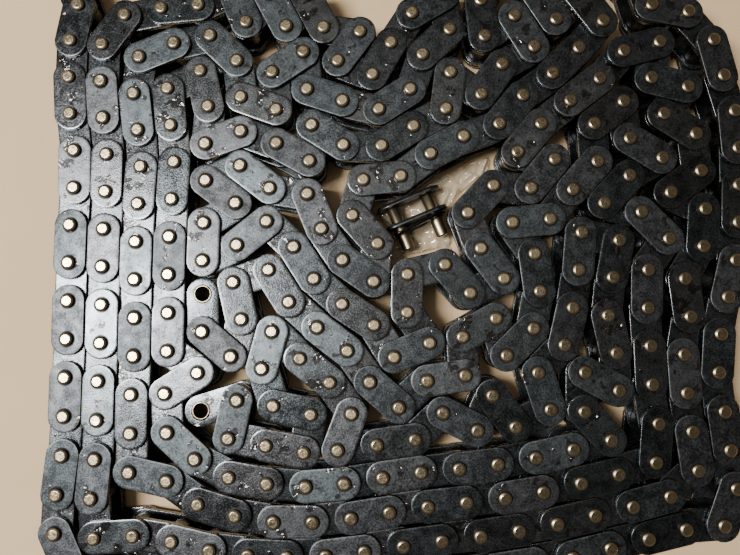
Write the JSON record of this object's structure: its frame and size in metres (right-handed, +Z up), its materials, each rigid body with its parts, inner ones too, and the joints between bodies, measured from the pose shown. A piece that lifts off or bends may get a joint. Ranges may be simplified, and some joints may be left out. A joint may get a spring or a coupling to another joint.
{
  "type": "heap of roller chain",
  "caption": "Small simplex roller chain laid on its side in loops one layer deep, both ends open, with its loose spring-clip connecting link in a clear bag in the middle gap",
  "frame": {"origin": "on the floor, under the middle of the heap's box", "axes": "+Z up, +X toward the right of the picture, +Y toward its top"},
  "size_m": [0.18, 0.1758, 0.0129],
  "materials": {
    "blued_steel": "oiled blued steel, satin",
    "bright_steel": "bare ground steel",
    "clear_film": "clear crumpled film"
  },
  "bodies": {
    "root": {"end_loop_1": "blued_steel", "centre_loop_1": "blued_steel", "centre_loop_2": "blued_steel", "centre_loop_3": "blued_steel", "centre_loop_4": "blued_steel", "row_1_right": "blued_steel", "row_1_left": "blued_steel", "column_4_lower": "blued_steel", "column_4_upper": "blued_steel", "top_loop_1": "blued_steel", "top_loop_2": "blued_steel", "beyond_top_right_end": "blued_steel", "beyond_top_left_end": "blued_steel", "column_1_upper": "blued_steel", "column_1_middle": "blued_steel", "column_1_lower": "blued_steel", "beyond_bottom": "blued_steel", "bottom_right_row": "blued_steel", "right_column_lower": "blued_steel", "right_column_upper": "blued_steel", "right_column_top": "blued_steel", "beyond_top_right_loop": "blued_steel", "top_loop_3": "blued_steel", "inner_loop_1": "blued_steel", "inner_loop_2": "blued_steel", "inner_loop_3": "blued_steel", "inner_loop_4": "blued_steel", "inner_loop_5": "blued_steel", "right_loop_1": "blued_steel", "right_loop_2": "blued_steel", "right_loop_3": "blued_steel", "row_3_right": "blued_steel", "row_3_middle": "blued_steel", "row_3_left": "blued_steel", "column_2_lower": "blued_steel", "column_2_upper": "blued_steel", "top_left_loop_1": "blued_steel", "top_left_loop_2": "blued_steel", "top_left_loop_3": "blued_steel", "top_left_loop_4": "blued_steel", "column_3_upper": "blued_steel", "column_3_lower": "blued_steel", "row_2_left": "blued_steel", "row_2_right": "blued_steel", "right_loop_4": "blued_steel", "right_loop_5": "blued_steel", "inner_loop_6": "blued_steel", "inner_loop_7": "blued_steel", "end_loop_2": "blued_steel", "end_loop_3": "blued_steel", "connecting_link_pin_plate": "bright_steel", "connecting_link_cover_plate": "blued_steel", "connecting_link_spring_clip": "blued_steel", "connecting_link_bag": "clear_film"}
  },
  "joints": []
}
